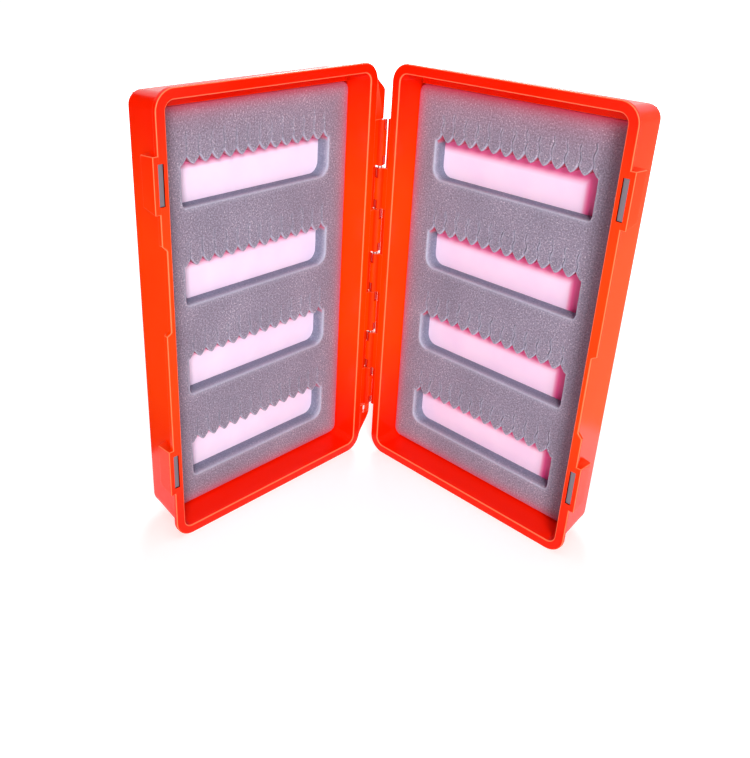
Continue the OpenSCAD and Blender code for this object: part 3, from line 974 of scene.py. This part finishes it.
    # the face, the walls behind each of its edges, and the back
    layers = [np.stack([u, v, w], -1)]
    edgeW = s["face"] + r
    for share in (0.2, 0.45, 0.75, 1.0):
        layers.append(np.stack([u, v, np.full_like(u, edgeW + (s["back"] - edgeW) * share)], -1))
    rows, cols = u.shape
    size = rows * cols
    points = np.concatenate([layer.reshape(-1, 3) for layer in layers])
    midU, midV = (us[1:] + us[:-1]) / 2, (vs[1:] + vs[:-1]) / 2
    midU, midV = np.meshgrid(midU, midV)
    kept = np.ones(midU.shape, bool)
    for top in tops:
        kept &= ~((midU > x0) & (midU < x1) & (midV > top - s["height"]) & (midV < top))
    i, j = np.nonzero(kept)
    base = i * cols + j
    face = np.stack([base, base + 1, base + cols + 1, base + cols], -1)
    around = np.pad(kept, 1)
    quads = [face, face[:, ::-1] + (len(layers) - 1) * size]
    sides = ((0, 1, around[:-2, 1:-1]), (1, 2, around[1:-1, 2:]),
             (2, 3, around[2:, 1:-1]), (3, 0, around[1:-1, :-2]))
    for a, b, neighbour in sides:
        open_ = ~neighbour[i, j]
        p, q = face[open_, a], face[open_, b]
        for n in range(len(layers) - 1):
            quads.append(np.stack([q + n * size, p + n * size, p + (n + 1) * size,
                                   q + (n + 1) * size], -1))
    return buildMesh(half + " foam", onHalf(points, half), np.concatenate(quads),
                     marks={"painted_cut_highlight": np.stack(painted_cut_highlight), "painted_red_glow_and_shade": np.stack(painted_red_glow_and_shade),
                            "wall": np.stack(wall)})


boardSize = {
    "edge": (10.06, 6.76, 87.04, 145.24),
    "cornerR": 3.0,
    "front": 15.51,
    "back": 19.8,
    "round": 0.25,
    "step": 0.9,
    "underTeeth": {"lid": (0.9, 2.0), "base": (1.6, 3.2)},  # mm below the tips: full painted shade, fade
    # painted shade in from the windows' free ends, in mm: full, fade
    "byFreeEdge": {"lid": (0.6, 1.5), "base": (5.2, 2.0)},
    "pinker": {"lid": 0.05, "base": 0.2},  # the same red painted as a glow over the whole sheet
    "tips": 2.7,           # mm from a window's top down to the tips of its teeth
    "reach": (20, 12),     # mm below and above the tips that a row of teeth blushes
}


def boardMesh(half):
    # a grid over the sheet's face with its edges rounded over, a wall round it and a flat back
    s, f = boardSize, foamSize
    u0, v0, u1, v1 = s["edge"]
    u, v = np.meshgrid(np.linspace(u0, u1, int((u1 - u0) / s["step"])),
                       np.linspace(v0, v1, int((v1 - v0) / s["step"])))
    inside = np.minimum.reduce([u - u0, u1 - u, v - v0, v1 - v])
    r = s["round"]
    w = s["front"] + r - np.sqrt(np.maximum(r * r - np.maximum(r - inside, 0) ** 2, 0))

    def fading(distance, full, fade):
        t = np.clip((distance - full) / fade, 0, 1)
        return 1 - t * t * (3 - 2 * t)

    # red shade painted by the windows' free ends and under each row of teeth, where the foam shades
    # the sheet, and a faint red glow painted over it all
    painted_red_glow_and_shade = fading(f["across"][1] - u, *s["byFreeEdge"][half])
    for row in range(f["rows"]):
        tips = f["firstRow"] + row * f["rowPitch"] + f["height"] - s["tips"]
        below, above = s["reach"]
        near = fading(tips - v, *s["underTeeth"][half]) * (v < tips + above) * (v > tips - below)
        painted_red_glow_and_shade = np.maximum(painted_red_glow_and_shade, near)
    pinker = s["pinker"][half]
    painted_red_glow_and_shade = np.clip(painted_red_glow_and_shade * 0.8 + pinker * (0.4 + 0.3 * (u / u1) + 0.3 * (1 - v / v1)), 0, 1)
    u, v = roundOutline(u, v, s["edge"], s["cornerR"])
    return sheetMesh(half + " board", half, (u, v, w), s["back"], "painted_red_glow_and_shade", painted_red_glow_and_shade, 1.0)


for half in ("lid", "base"):
    foam = makePiece(half + "_slit_foam", foamMesh(half), half, "foam", smoothTo=50)
    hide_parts(half + "_foam")
    board = makePiece(half + "_white_board", boardMesh(half), half, "white_board")
    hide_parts(half + "_backing")
    length, width, deep = shellSize["magnet"]
    mid, face = shellSize["magnetAt"], shellSize["rimAt"] + shellSize["magnetSunk"]
    for y, where in zip(shellSize["pads"], ("lower", "upper")):
        bar = prism("bar", rectangle(mid - width / 2, y - length / 2,
                                     mid + width / 2, y + length / 2), "w", face, face + deep, half)
        bar = makePiece(f"{half}_bar_magnet_{where}", bar, half, "magnet", bevel=0.12, segments=2)
        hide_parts(f"{half}_magnet_{where}")
print("foam, boards and magnets in")


# The woven relief on the backs
weaveSize = {
    "inset": 7.4,        # from the box's outline to the relief, over a smooth border
    "cornerR": 3.2,
    "strand": 1.7,       # mm from strand to strand
    "perStrand": 5,      # grid steps to each
    "rise": 0.15,        # strand's own roundness
    "overUnder": 0.10,   # how far it goes over and under its neighbours
    "border": 0.9,       # mm over which the relief sinks to the plain back
    "wall": 0.4,         # how far its wall goes into the back
    "hollows": 0.75,     # how much painted shade goes in the hollows
}


def weaveMesh(half):
    # plain weave: each strand is a low arch that goes over and under the ones across it, and
    # the surface is whichever strand is higher
    s, box = weaveSize, shellSize
    across, along = (round((box[side] - 2 * s["inset"]) / s["strand"])
                     for side in ("width", "length"))  # whole strands
    wide, tall = across * s["strand"], along * s["strand"]
    u, v = np.meshgrid(np.linspace(0, wide, across * s["perStrand"] + 1),
                       np.linspace(0, tall, along * s["perStrand"] + 1))
    a, b = u / s["strand"], v / s["strand"]

    def strand(across, along):
        number = np.floor(across)
        arch = np.sqrt(np.maximum(1 - ((across - number - 0.5) / 0.46) ** 2, 0))
        over = np.cos(np.pi * (along - 0.5)) * (1 - 2 * (number % 2))
        return s["rise"] * arch + s["overUnder"] * over * (arch > 0)

    height = np.maximum(np.maximum(strand(a, b), -0.02), strand(b, a + 1))
    edge = np.minimum.reduce([u, wide - u, v, tall - v])
    height = np.where(edge < s["border"], height * np.clip((edge - 0.2) / 0.7, 0, 1)
                      - 0.03 * (edge < 0.25), height)
    full = s["rise"] + s["overUnder"]
    # shade painted into the hollows between the strands
    paintedShade = s["hollows"] * np.clip(1 - height / (0.8 * full), 0, 1) * np.clip(edge - 0.6, 0, 1)
    u, v = roundOutline(u, v, (0, 0, wide, tall), s["cornerR"])
    grid = (u + box["hingeSide"] + (box["width"] - wide) / 2, v + (box["length"] - tall) / 2,
            box["depth"] + height)
    return sheetMesh(half + " weave", half, grid, box["depth"] - s["wall"], "painted_shade", paintedShade, 0.0)


for half in ("lid", "base"):
    weave = makePiece(half + "_back_weave", weaveMesh(half), half, "weave", smoothTo=75)
    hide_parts(half + "_shell")
print("backs woven")

# the solids get the same finishes, by what their names end in
solidFinish = {"shell": "red_abs", "pin": "steel", "upper": "magnet", "lower": "magnet",
               "foam": "foam", "backing": "white_board"}
for node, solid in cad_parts.items():
    solid.data.materials.clear()
    solid.data.materials.append(finishes[solidFinish[node.split("_")[-1]]])
